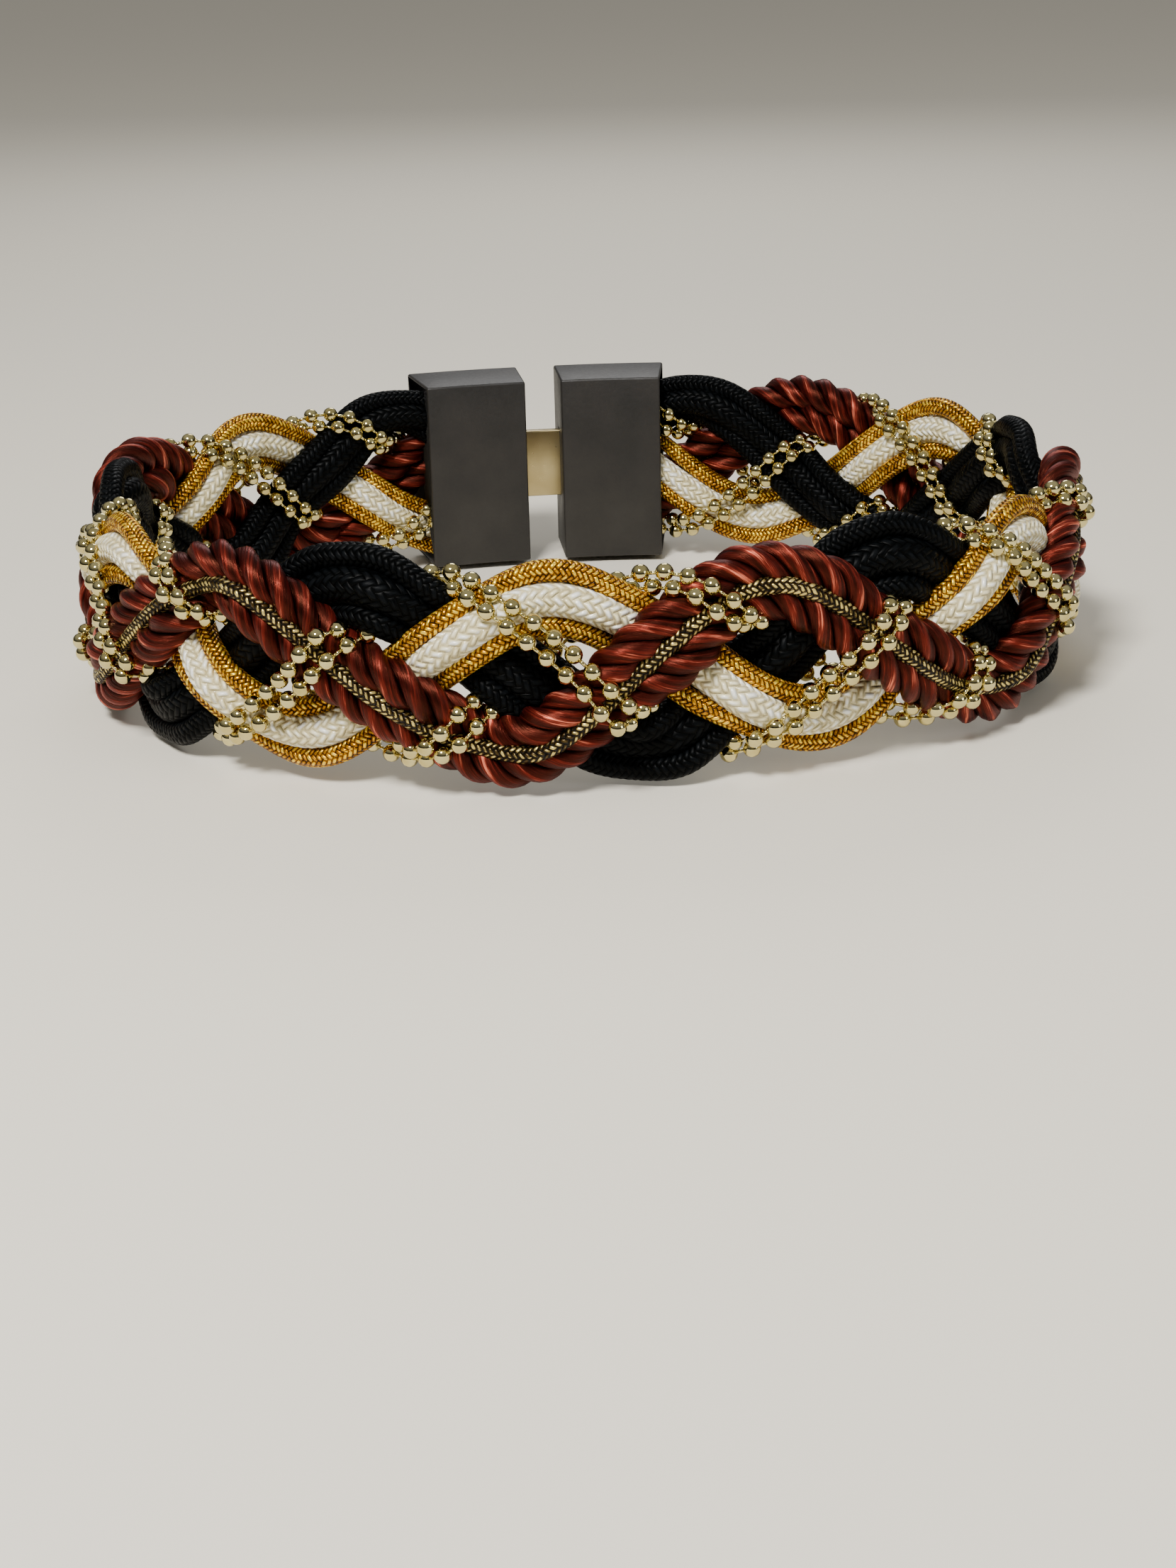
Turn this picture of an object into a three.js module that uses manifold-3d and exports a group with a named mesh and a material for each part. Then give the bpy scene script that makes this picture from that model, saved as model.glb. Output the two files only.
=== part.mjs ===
// Rope belt: five strands plaited flat and closed round a waist.
// One strand is two twisted ropes with a thin cord in their groove, two are a thick
// braided cord between two thinner ones, and two are pairs of bead strings.
// Millimetres, +Z up. The origin is the middle of the waist at half the belt's height,
// and the wearer faces -Y, so the caps and the clasp are at the back, at +Y.

import * as THREE from 'three';
import { mergeVertices } from 'three/addons/utils/BufferGeometryUtils.js';
import Module from 'manifold-3d';

// The waist that the belt closes round, a rounded oval.
const WAIST_WIDTH = 246.4;
const WAIST_DEPTH = 200.8;
const WAIST_SQUARENESS = 2.26;

// Thickness of each cord, rope and bead string.
const RUST_ROPE = 9.8;
const OLIVE_CORD = 4.1;
const WHITE_CORD = 7.9;
const GOLD_CORD = 5.0;
const BLACK_THICK_CORD = 7.9;
const BLACK_THIN_CORD = 5.0;
const BEAD = 4.6;

// The plait.
const PLAIT_HEIGHT = 56;
const HALF_TURN = 69.7; // along the plait, from a strand's top edge to its next bottom edge
const MIDDLE_DEPTH = 12; // the line that lengths along the plait are measured on
const PRESSED = 0.75; // share of its thickness that a cord keeps where the others press on it
const ROPE_PRESSED = 0.66; // the same for the loosely twisted ropes
const ROPES_PARTED = 1.4; // how far the thin cord between the two ropes keeps them apart
const CORD_GAP = 0.35;
const WAIST_GAP = 0.6;
const BEADS_INSET = 3.5; // how far inside the plait's edges the bead strings turn back
const OLIVE_PROUD = 3.4; // how far the thin cord lies in front of the two ropes' middles

// The caps and the clasp at the back.
const CLASP_SPACING = 12; // between the two caps
const CAP_LENGTH = 34;
const CAP_WALL = 1.4;
const CAP_BACK = 14; // solid end of a cap, that holds the clasp
const CAP_THICKNESS = 27;
const CLASP_HEIGHT = 22;
const CLASP_THICKNESS = 3;
const CLASP_GRIP = 9; // length of clasp inside each cap
const CORD_END_CLEARANCE = 4.5; // between the cords' ends and the bottom of the cap
const SEAT_GAP = 0.3;

// Each strand's places on its way along the plait, measured from the middle of the front
// towards +X, where it touches the top and bottom edges by turns. Past the ends of the
// list it goes on in even half turns. These are the plait's own hand-made spacings.
const STRAND_EDGES = {
  rust: [
    { at: -102.2, edge: 'top' },
    { at: -27, edge: 'bottom' },
    { at: 33, edge: 'top' },
    { at: 101.3, edge: 'bottom' },
  ],
  black: [
    { at: -141.7, edge: 'bottom' },
    { at: -73, edge: 'top' },
    { at: 1, edge: 'bottom' },
    { at: 67.5, edge: 'top' },
  ],
  white: [
    { at: -86.5, edge: 'bottom' },
    { at: -23, edge: 'top' },
    { at: 46.4, edge: 'bottom' },
    { at: 115.1, edge: 'top' },
  ],
  beadsLeading: [
    { at: -46.4, edge: 'top' },
    { at: 20.5, edge: 'bottom' },
    { at: 89.4, edge: 'top' },
  ],
  beadsTrailing: [
    { at: -60.1, edge: 'bottom' },
    { at: 7.2, edge: 'top' },
    { at: 75.4, edge: 'bottom' },
  ],
};

// Which strands each strand passes in front of, at every crossing of the two.
const IN_FRONT_OF = {
  rust: ['white', 'black'],
  white: ['black', 'beadsTrailing'],
  black: ['beadsLeading', 'beadsTrailing'],
  beadsLeading: ['rust', 'white', 'beadsTrailing'],
  beadsTrailing: ['rust'],
};

// Depths from the waist to the strand's middle that the settling starts from. share is the
// part of a half turn since the strand last touched an edge.
const STARTING_DEPTHS = {
  rust: [
    { share: 0, depth: 15 },
  ],
  white: [
    { share: 0.2, depth: 9 },
    { share: 0.6, depth: 13 },
  ],
  black: [
    { share: 0.2, depth: 9 },
    { share: 0.8, depth: 5 },
  ],
  beadsLeading: [
    { share: 0, depth: 12 },
    { share: 0.2, depth: 18 },
    { share: 0.6, depth: 21 },
    { share: 0.8, depth: 3 },
  ],
  beadsTrailing: [
    { share: 0, depth: 12 },
    { share: 0.2, depth: 21 },
    { share: 0.4, depth: 3 },
    { share: 0.8, depth: 3 },
  ],
};

// How each kind is laid: stations along the belt, sides of its section, straightening passes
// in each round of settling, and millimetres that a round draws it in towards the waist.
const ROPE = { stations: 61, sides: 8, stiffness: 6, pull: 0.15, pressed: ROPE_PRESSED };
const THICK = { stations: 61, sides: 8, stiffness: 5, pull: 0.15, pressed: PRESSED };
const THIN = { stations: 61, sides: 6, stiffness: 3, pull: 0.15, pressed: PRESSED };
const STRING = { stations: 121, sides: 5, stiffness: 3, pull: 0.3, pressed: PRESSED };

// The cords, strand by strand, from the one nearest the top edge at the strand's top.
const STRANDS = [
  {
    name: 'rust',
    parted: ROPES_PARTED,
    cords: [
      { name: 'rust_rope_upper', diameter: RUST_ROPE, make: ROPE, finish: 'rust' },
      { name: 'olive_cord', diameter: OLIVE_CORD, make: THIN, finish: 'olive', proud: OLIVE_PROUD },
      { name: 'rust_rope_lower', diameter: RUST_ROPE, make: ROPE, finish: 'rust' },
    ],
  },
  {
    name: 'white',
    cords: [
      { name: 'gold_cord_upper', diameter: GOLD_CORD, make: THIN, finish: 'gold' },
      { name: 'white_cord', diameter: WHITE_CORD, make: THICK, finish: 'white' },
      { name: 'gold_cord_lower', diameter: GOLD_CORD, make: THIN, finish: 'gold' },
    ],
  },
  {
    name: 'black',
    cords: [
      { name: 'black_cord_upper', diameter: BLACK_THIN_CORD, make: THIN, finish: 'black' },
      { name: 'black_cord_middle', diameter: BLACK_THICK_CORD, make: THICK, finish: 'black' },
      { name: 'black_cord_lower', diameter: BLACK_THIN_CORD, make: THIN, finish: 'black' },
    ],
  },
  {
    name: 'beadsLeading',
    inset: BEADS_INSET,
    cords: [
      { name: 'bead_string_1', diameter: BEAD, make: STRING, finish: 'beads' },
      { name: 'bead_string_2', diameter: BEAD, make: STRING, finish: 'beads' },
    ],
  },
  {
    name: 'beadsTrailing',
    inset: BEADS_INSET,
    cords: [
      { name: 'bead_string_3', diameter: BEAD, make: STRING, finish: 'beads' },
      { name: 'bead_string_4', diameter: BEAD, make: STRING, finish: 'beads' },
    ],
  },
];

const FINISHES = {
  rust: { color: 0x7a332a, roughness: 0.55, metalness: 0 },
  olive: { color: 0x7c6a34, roughness: 0.5, metalness: 0.2 },
  white: { color: 0xefe9d4, roughness: 0.55, metalness: 0 },
  gold: { color: 0xb9811c, roughness: 0.5, metalness: 0 },
  black: { color: 0x101012, roughness: 0.6, metalness: 0 },
  beads: { color: 0xd9d0a4, roughness: 0.2, metalness: 1 },
  caps: { color: 0x17140f, roughness: 0.6, metalness: 0 },
  clasp: { color: 0xcbbf90, roughness: 0.35, metalness: 1 },
};

// How finely the cords are laid and settled.
const THINNEST = 0.25; // the settling starts from cords of this share of their thickness
const ORDERING_ROUNDS = 60;
const SWELLING_ROUNDS = 500;
const SETTLING_ROUNDS = 60;
const CLEARING_ROUNDS = 300;
const PARTING_PASSES = 3;
const ORDERED_UNTIL = 0.35; // share of the thickness up to which only the order is settled
const STRAIGHTENING = 0.4; // share of a bend that one pass evens out
const LONGEST_STEP = 0.4; // that one straightening pass moves a station
const CROSSING_NEARNESS = 0.2; // share of the wanted distance that still counts as crossing
const PULL_TO_ROUTE = 0.5; // share of the way, each round
const PULL_TOGETHER = 0.2; // the same, for the depths of the cords of one strand
const OVAL_SAMPLES = 4000;

const HALF_HEIGHT = PLAIT_HEIGHT / 2;

// Points and outward directions along the belt, at a given depth from the waist.
class BeltLine {
  constructor(depth) {
    this.depth = depth;
    this.samples = [];
    let length = 0;
    let last = null;
    for (let i = 0; i <= OVAL_SAMPLES; i += 1) {
      const sample = this.ovalPoint((i / OVAL_SAMPLES - 0.25) * 2 * Math.PI);
      if (last) length += Math.hypot(sample.x - last.x, sample.y - last.y);
      this.samples.push({ ...sample, length });
      last = sample;
    }
    this.total = length;
  }

  ovalPoint(angle) {
    const power = 2 / WAIST_SQUARENESS;
    const cos = Math.cos(angle);
    const sin = Math.sin(angle);
    const x = (WAIST_WIDTH / 2) * Math.sign(cos) * Math.abs(cos) ** power;
    const y = (WAIST_DEPTH / 2) * Math.sign(sin) * Math.abs(sin) ** power;
    // The outward direction is the gradient of the oval's equation.
    const gradientX = Math.sign(x) * Math.abs((2 * x) / WAIST_WIDTH) ** (WAIST_SQUARENESS - 1) / WAIST_WIDTH;
    const gradientY = Math.sign(y) * Math.abs((2 * y) / WAIST_DEPTH) ** (WAIST_SQUARENESS - 1) / WAIST_DEPTH;
    const size = Math.hypot(gradientX, gradientY);
    const outX = gradientX / size;
    const outY = gradientY / size;
    return { x: x + outX * this.depth, y: y + outY * this.depth, outX, outY };
  }

  // The place at a length from the middle of the front, towards +X where it is positive.
  at(length) {
    const wanted = ((length % this.total) + this.total) % this.total;
    let low = 0;
    let high = OVAL_SAMPLES;
    while (high - low > 1) {
      const middle = (low + high) >> 1;
      if (this.samples[middle].length > wanted) high = middle;
      else low = middle;
    }
    const a = this.samples[low];
    const b = this.samples[high];
    const share = (wanted - a.length) / (b.length - a.length || 1);
    const mix = (key) => a[key] + (b[key] - a[key]) * share;
    const out = new THREE.Vector3(mix('outX'), mix('outY'), 0).normalize();
    return { point: new THREE.Vector3(mix('x'), mix('y'), 0), out };
  }
}

const beltLine = new BeltLine(MIDDLE_DEPTH);
const CAP_MOUTH = beltLine.total / 2 - CLASP_SPACING / 2 - CAP_LENGTH;
const CORD_END = beltLine.total / 2 - CLASP_SPACING / 2 - CAP_BACK - CORD_END_CLEARANCE;

// A point of the belt: length along the plait, height, and depth from the waist.
function place(length, height, depth) {
  const { point, out } = beltLine.at(length);
  return point.addScaledVector(out, depth - MIDDLE_DEPTH).setZ(height);
}

// The two edges that a strand lies between at a length along the plait.
function edgesAround(strand, length) {
  const list = STRAND_EDGES[strand];
  const other = { top: 'bottom', bottom: 'top' };
  let before = list[0];
  let after = list[0];
  for (const edge of list) {
    if (edge.at <= length) before = edge;
  }
  after = list[list.indexOf(before) + 1] ?? { at: before.at + HALF_TURN, edge: other[before.edge] };
  while (before.at > length) {
    after = before;
    before = { at: before.at - HALF_TURN, edge: other[before.edge] };
  }
  while (after.at < length) {
    before = after;
    after = { at: after.at + HALF_TURN, edge: other[after.edge] };
  }
  return { before, after, share: (length - before.at) / (after.at - before.at) };
}

// Between the cords that lie side by side in a strand.
function gapIn(strand) {
  return CORD_GAP + (strand.parted ?? 0);
}

function strandWidth(strand) {
  const across = strand.cords.filter((cord) => !cord.proud);
  return across.reduce((sum, cord) => sum + cord.diameter, 0) + gapIn(strand) * (across.length - 1);
}

// Height of the strand's middle line, and how steeply it climbs.
function strandLine(strand, length) {
  const swing = HALF_HEIGHT - (strand.inset ?? 0) - strandWidth(strand) / 2;
  const { before, after, share } = edgesAround(strand.name, length);
  const sign = before.edge === 'top' ? 1 : -1;
  const angle = Math.PI * share;
  const climb = (-sign * swing * Math.PI * Math.sin(angle)) / (after.at - before.at);
  return { height: sign * swing * Math.cos(angle), climb };
}

// Height of a cord that runs beside its strand's middle line, at an even distance from it.
function cordHeight(strand, offset, length) {
  const rounds = 6;
  let along = length;
  for (let i = 0; i < rounds; i += 1) {
    along = length + offset * Math.sin(Math.atan(strandLine(strand, along).climb));
  }
  const { height, climb } = strandLine(strand, along);
  return height + offset * Math.cos(Math.atan(climb));
}

// Depth from the strand's own short table, with smooth steps between its rows.
function startingDepth(strand, length) {
  const rows = STARTING_DEPTHS[strand.name];
  const { share } = edgesAround(strand.name, length);
  for (let i = 0; i < rows.length; i += 1) {
    const from = rows[i];
    const next = rows[(i + 1) % rows.length];
    const span = (((next.share - from.share) % 1) + 1) % 1 || 1;
    const gone = (((share - from.share) % 1) + 1) % 1;
    if (gone <= span) {
      return from.depth + (next.depth - from.depth) * THREE.MathUtils.smoothstep(gone / span, 0, 1);
    }
  }
  return rows[0].depth;
}

// One cord as it lies at the stations: its wanted heights, and where it has settled.
function layCord(strand, cord, offset) {
  const laid = {
    ...cord,
    strand: strand.name,
    radius: (cord.diameter / 2) * cord.make.pressed,
    stations: layStations(cord.make.stations),
    middle: [],
    wanted: [],
    height: [],
    depth: [],
    flat: [],
    points: [],
  };
  for (const station of laid.stations) {
    const wanted = cordHeight(strand, offset, station.length);
    const middle = strandLine(strand, station.length).height;
    laid.middle.push(middle);
    laid.wanted.push(wanted);
    laid.height.push(THREE.MathUtils.lerp(middle, wanted, THINNEST));
    laid.depth.push(startingDepth(strand, station.length) + (cord.proud ?? 0));
    laid.flat.push(new THREE.Vector3());
    laid.points.push(new THREE.Vector3());
  }
  return laid;
}

function layStrand(strand) {
  let across = strandWidth(strand) / 2;
  return strand.cords.map((cord) => {
    if (cord.proud) return layCord(strand, cord, 0);
    const offset = across - cord.diameter / 2;
    across -= cord.diameter + gapIn(strand);
    return layCord(strand, cord, offset);
  });
}

function layStations(count) {
  const list = [];
  for (let i = 0; i < count; i += 1) {
    const length = THREE.MathUtils.lerp(-CORD_END, CORD_END, i / (count - 1));
    const { point, out } = beltLine.at(length);
    const inCap = Math.abs(length) > CAP_MOUTH - beltLine.total / count;
    list.push({ length, point, out, floor: inCap ? CAP_WALL + 2 * SEAT_GAP : 0, inCap });
  }
  return list;
}

const strands = STRANDS.map(layStrand);
const cords = strands.flat();

// Keeps a cord off the waist, inside the plait's edges and inside the caps.
function holdInside(cord, i) {
  const { floor, inCap } = cord.stations[i];
  const thick = cord.diameter / 2;
  cord.depth[i] = Math.max(cord.depth[i], thick + (floor || WAIST_GAP));
  if (inCap) cord.depth[i] = Math.min(cord.depth[i], CAP_THICKNESS - CAP_WALL - CORD_GAP - thick);
  const reach = HALF_HEIGHT - thick;
  cord.height[i] = THREE.MathUtils.clamp(cord.height[i], -reach, reach);
}

function placePoint(cord, i) {
  const { point, out } = cord.stations[i];
  cord.flat[i].copy(point).setZ(cord.height[i]);
  cord.points[i].copy(cord.flat[i]).addScaledVector(out, cord.depth[i] - MIDDLE_DEPTH);
}

function placePoints(cord) {
  cord.points.forEach((point, i) => placePoint(cord, i));
}

// The nearest points of two segments, as shares along each, and the vector between them.
const alongA = new THREE.Vector3();
const alongB = new THREE.Vector3();
const apart = new THREE.Vector3();
const between = new THREE.Vector3();

function nearestPoints(a0, a1, b0, b1) {
  alongA.subVectors(a1, a0);
  alongB.subVectors(b1, b0);
  apart.subVectors(a0, b0);
  const aa = alongA.dot(alongA);
  const bb = alongB.dot(alongB);
  const ab = alongA.dot(alongB);
  const ad = alongA.dot(apart);
  const bd = alongB.dot(apart);
  const lean = aa * bb - ab * ab;
  let a = lean > 1e-9 ? THREE.MathUtils.clamp((ab * bd - ad * bb) / lean, 0, 1) : 0.5;
  let b = (ab * a + bd) / bb;
  if (b < 0 || b > 1) {
    b = THREE.MathUtils.clamp(b, 0, 1);
    a = THREE.MathUtils.clamp((ab * b - ad) / aa, 0, 1);
  }
  between.copy(apart).addScaledVector(alongA, a).addScaledVector(alongB, -b);
  return [a, b];
}

// Moves one end of a segment. Cords slide up, down, in and out, and not along the belt.
function shift(cord, i, push, amount) {
  cord.height[i] += push.z * amount;
  cord.depth[i] += push.dot(cord.stations[i].out) * amount;
  holdInside(cord, i);
  placePoint(cord, i);
}

// Moves two segments apart along a direction, each by half, at their nearest points.
function shiftApart([over, i, a], [under, j, b], push, missing) {
  const half = missing / 2;
  shift(over, i, push, half * (1 - a));
  shift(over, i + 1, push, half * a);
  shift(under, j, push, -half * (1 - b));
  shift(under, j + 1, push, -half * b);
}

// Visits each pair of segments of two cords that are nearer than a distance. route is the
// kind of points to measure on, and leaves the vector from one to the other in between.
function eachNearPair(over, under, distance, route, visit) {
  const reach = 2;
  const last = under.stations.length - 2;
  const pace = (under.stations.length - 1) / (over.stations.length - 1);
  for (let i = 0; i < over.stations.length - 1; i += 1) {
    const from = Math.max(0, Math.floor((i - reach) * pace));
    const to = Math.min(last, Math.ceil((i + reach) * pace));
    const a0 = over[route][i];
    const a1 = over[route][i + 1];
    const lowest = Math.min(a0.z, a1.z) - distance;
    const highest = Math.max(a0.z, a1.z) + distance;
    for (let j = from; j <= to; j += 1) {
      const b0 = under[route][j];
      const b1 = under[route][j + 1];
      if (Math.max(b0.z, b1.z) < lowest || Math.min(b0.z, b1.z) > highest) continue;
      const [a, b] = nearestPoints(a0, a1, b0, b1);
      if (between.lengthSq() < distance ** 2) visit([over, i, a], [under, j, b]);
    }
  }
}

// Puts one cord in front of another wherever their middles pass within a share of the
// wanted distance, seen from outside the belt.
function putInFront(over, under, swelling, nearness) {
  const wanted = (over.radius + under.radius) * swelling + CORD_GAP;
  eachNearPair(over, under, wanted * nearness, 'flat', (front, back) => {
    const depthOf = ([cord, i, share]) => THREE.MathUtils.lerp(cord.depth[i], cord.depth[i + 1], share);
    const missing = Math.sqrt(wanted ** 2 - between.lengthSq()) - (depthOf(front) - depthOf(back));
    if (missing > 0) shiftApart(front, back, over.stations[front[1]].out, missing);
  });
}

// Pushes two cords apart where they are too near, straight away from each other. Returns
// the most that was missing.
function partCords(over, under, swelling) {
  const wanted = (over.radius + under.radius) * swelling + CORD_GAP;
  let worst = 0;
  eachNearPair(over, under, wanted, 'points', (front, back) => {
    const missing = wanted - between.length();
    worst = Math.max(worst, missing);
    shiftApart(front, back, between.normalize(), missing);
  });
  return worst;
}

function partAll(swelling, ordering) {
  let worst = 0;
  for (let i = 0; i < cords.length; i += 1) {
    for (let j = i + 1; j < cords.length; j += 1) {
      const [a, b] = [cords[i], cords[j]];
      const crossing = a.strand !== b.strand;
      const aInFront = !crossing || IN_FRONT_OF[a.strand].includes(b.strand);
      const [over, under] = aInFront ? [a, b] : [b, a];
      if (crossing) putInFront(over, under, swelling, ordering ? 1 : CROSSING_NEARNESS);
      if (!crossing || !ordering) worst = Math.max(worst, partCords(over, under, swelling));
    }
  }
  return worst;
}

// The middle of a strand at one station, as its cords lie now.
function strandMiddle(laidCords, i) {
  const across = laidCords.filter((cord) => !cord.proud);
  const mean = (key) => across.reduce((sum, cord) => sum + cord[key][i], 0) / across.length;
  return { height: mean('height'), depth: mean('depth') };
}

// Evens out a cord's depth, and how far it strays from the curve of its route.
function straighten(cord, firmness) {
  const share = STRAIGHTENING * firmness;
  const stray = cord.height.map((height, i) => height - cord.wanted[i]);
  const depth = cord.depth.slice();
  for (let i = 1; i < cord.stations.length - 1; i += 1) {
    const step = (list) => ((list[i - 1] + list[i + 1]) / 2 - list[i]) * share;
    cord.height[i] += THREE.MathUtils.clamp(step(stray), -LONGEST_STEP, LONGEST_STEP);
    cord.depth[i] += THREE.MathUtils.clamp(step(depth), -LONGEST_STEP, LONGEST_STEP);
  }
}

// One round of a strand drawing itself tight: each cord eases towards its route, the waist
// and the cords beside it, and straightens by its stiffness.
function drawTight(laidCords, swelling, ease) {
  const middles = laidCords[0].stations.map((station, i) => strandMiddle(laidCords, i));
  for (const cord of laidCords) {
    const { stiffness, pull } = cord.make;
    for (let i = 0; i < cord.stations.length; i += 1) {
      const middle = middles[i];
      const route = THREE.MathUtils.lerp(cord.middle[i], cord.wanted[i], swelling);
      const wanted = cord.proud ? middle.height : route;
      const proud = (cord.proud ?? 0) * swelling;
      cord.height[i] += (wanted - cord.height[i]) * PULL_TO_ROUTE * ease;
      cord.depth[i] += (middle.depth + proud - cord.depth[i]) * PULL_TOGETHER * ease;
      cord.depth[i] -= pull * ease;
    }
    const firmness = ease * THREE.MathUtils.smoothstep(swelling, THINNEST, 1);
    for (let pass = 0; pass < stiffness; pass += 1) straighten(cord, firmness);
    cord.stations.forEach((station, i) => holdInside(cord, i));
    placePoints(cord);
  }
}

function settle() {
  cords.forEach(placePoints);
  const swellingStart = ORDERING_ROUNDS;
  const swellingEnd = swellingStart + SWELLING_ROUNDS;
  const easingEnd = swellingEnd + SETTLING_ROUNDS;
  for (let round = 0; round < easingEnd; round += 1) {
    const swollen = THREE.MathUtils.smoothstep(round, swellingStart, swellingEnd);
    const swelling = THREE.MathUtils.lerp(THINNEST, 1, swollen);
    const ease = 1 - THREE.MathUtils.smoothstep(round, swellingEnd, easingEnd);
    strands.forEach((laidCords) => drawTight(laidCords, swelling, ease));
    for (let pass = 0; pass < PARTING_PASSES; pass += 1) partAll(swelling, swelling < ORDERED_UNTIL);
  }
  let worst = Infinity;
  for (let round = 0; round < CLEARING_ROUNDS && worst > CORD_GAP / 10; round += 1) {
    worst = partAll(1, false);
  }
}

// A route whose stations are the sections of the tube.
class StationCurve extends THREE.Curve {
  constructor(points) {
    super();
    this.points = points;
  }

  getPoint(share, target = new THREE.Vector3()) {
    const along = THREE.MathUtils.clamp(share, 0, 1) * (this.points.length - 1);
    const i = Math.min(Math.floor(along + 1e-6), this.points.length - 2);
    return target.copy(this.points[i]).lerp(this.points[i + 1], along - i);
  }

  getPointAt(share, target) {
    return this.getPoint(share, target);
  }

  getTangentAt(share, target = new THREE.Vector3()) {
    const last = this.points.length - 1;
    const i = Math.round(share * last);
    const before = this.points[Math.max(0, i - 1)];
    const after = this.points[Math.min(last, i + 1)];
    return target.copy(after).sub(before).normalize();
  }
}

function sectionShape(radius, sides) {
  const shape = new THREE.Shape();
  for (let i = 0; i < sides; i += 1) {
    const angle = ((i + 0.5) / sides) * 2 * Math.PI;
    const x = radius * Math.cos(angle);
    const y = radius * Math.sin(angle);
    if (i === 0) shape.moveTo(x, y);
    else shape.lineTo(x, y);
  }
  shape.closePath();
  return shape;
}

function finishOf(name) {
  return new THREE.MeshStandardMaterial({ name, ...FINISHES[name] });
}

function namedMesh(name, geometry, finish) {
  const mesh = new THREE.Mesh(geometry, finishOf(finish));
  mesh.name = name;
  return mesh;
}

function cordMesh(cord) {
  const geometry = new THREE.ExtrudeGeometry(sectionShape(cord.radius, cord.make.sides), {
    steps: cord.stations.length - 1,
    bevelEnabled: false,
    extrudePath: new StationCurve(cord.points),
  });
  return namedMesh(cord.name, geometry, cord.finish);
}

const wasm = await Module();
wasm.setup();

function toSolid(geometry) {
  const bare = geometry.clone();
  bare.deleteAttribute('normal');
  bare.deleteAttribute('uv');
  const merged = mergeVertices(bare, 1e-4);
  return new wasm.Manifold(new wasm.Mesh({
    numProp: 3,
    vertProperties: Float32Array.from(merged.attributes.position.array),
    triVerts: Uint32Array.from(merged.index.array),
  }));
}

function toGeometry(solid) {
  const { numProp, vertProperties, triVerts } = solid.getMesh();
  const positions = new Float32Array((vertProperties.length / numProp) * 3);
  for (let i = 0; i < positions.length / 3; i += 1) {
    for (let axis = 0; axis < 3; axis += 1) positions[3 * i + axis] = vertProperties[numProp * i + axis];
  }
  const geometry = new THREE.BufferGeometry();
  geometry.setAttribute('position', new THREE.BufferAttribute(positions, 3));
  geometry.setIndex(Array.from(triVerts));
  geometry.computeVertexNormals();
  return geometry;
}

// A block that bends with the belt, between two lengths, heights and depths.
function bentBlock([fromLength, toLength], halfHeight, [fromDepth, toDepth]) {
  const segments = Math.max(2, Math.ceil(Math.abs(toLength - fromLength) / 8));
  const block = new THREE.BoxGeometry(1, 1, 1, segments, 1, 1);
  const position = block.attributes.position;
  for (let i = 0; i < position.count; i += 1) {
    const length = THREE.MathUtils.lerp(fromLength, toLength, position.getX(i) + 0.5);
    const depth = THREE.MathUtils.lerp(toDepth, fromDepth, position.getY(i) + 0.5);
    const point = place(length, position.getZ(i) * 2 * halfHeight, depth);
    position.setXYZ(i, point.x, point.y, point.z);
  }
  return toSolid(block);
}

// A cap takes the ends of the strands in its mouth and the clasp in its back. side is 1 for
// the cap that the plait reaches past +X and -1 for the other.
function capMesh(name, side) {
  const back = beltLine.total / 2 - CLASP_SPACING / 2;
  const pocketEnd = back - CAP_BACK;
  const ordered = (a, b) => (side > 0 ? [a, b] : [-b, -a]);
  const halfHeight = HALF_HEIGHT + SEAT_GAP;
  const outer = bentBlock(ordered(CAP_MOUTH, back), halfHeight + CAP_WALL, [SEAT_GAP, CAP_THICKNESS]);
  const pocketDepths = [SEAT_GAP + CAP_WALL, CAP_THICKNESS - CAP_WALL];
  const pocket = bentBlock(ordered(CAP_MOUTH - CAP_WALL, pocketEnd), halfHeight, pocketDepths);
  const slotStart = back - CLASP_GRIP - SEAT_GAP;
  const middle = CAP_THICKNESS / 2;
  const slotDepth = CLASP_THICKNESS / 2 + SEAT_GAP;
  const slotDepths = [middle - slotDepth, middle + slotDepth];
  const slot = bentBlock(ordered(slotStart, back + CAP_WALL), CLASP_HEIGHT / 2 + SEAT_GAP, slotDepths);
  return namedMesh(name, toGeometry(outer.subtract(pocket).subtract(slot)), 'caps');
}

function claspMesh() {
  const reach = CLASP_SPACING / 2 + CLASP_GRIP;
  const middle = beltLine.total / 2;
  const depths = [CAP_THICKNESS / 2 - CLASP_THICKNESS / 2, CAP_THICKNESS / 2 + CLASP_THICKNESS / 2];
  const solid = bentBlock([middle - reach, middle + reach], CLASP_HEIGHT / 2, depths);
  return namedMesh('clasp', toGeometry(solid), 'clasp');
}

settle();

const belt = new THREE.Group();
belt.add(...cords.map(cordMesh));
belt.add(capMesh('end_cap_right', 1));
belt.add(capMesh('end_cap_left', -1));
belt.add(claspMesh());

export default belt;
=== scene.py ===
"""Looks of the rope belt: twisted satin ropes, braided cords and strings of round beads.

Every piece follows the middle of its own CAD tube, so it lies where the plait has settled.
The ropes and cords are drawn a little thicker than the real ones, so that the strands fill out.
Lengths are metres, in the CAD frame.
"""

import logging
import math
from dataclasses import dataclass, field
from enum import Enum

import bmesh
import bpy
import numpy as np
from mathutils import Matrix, Vector


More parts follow.
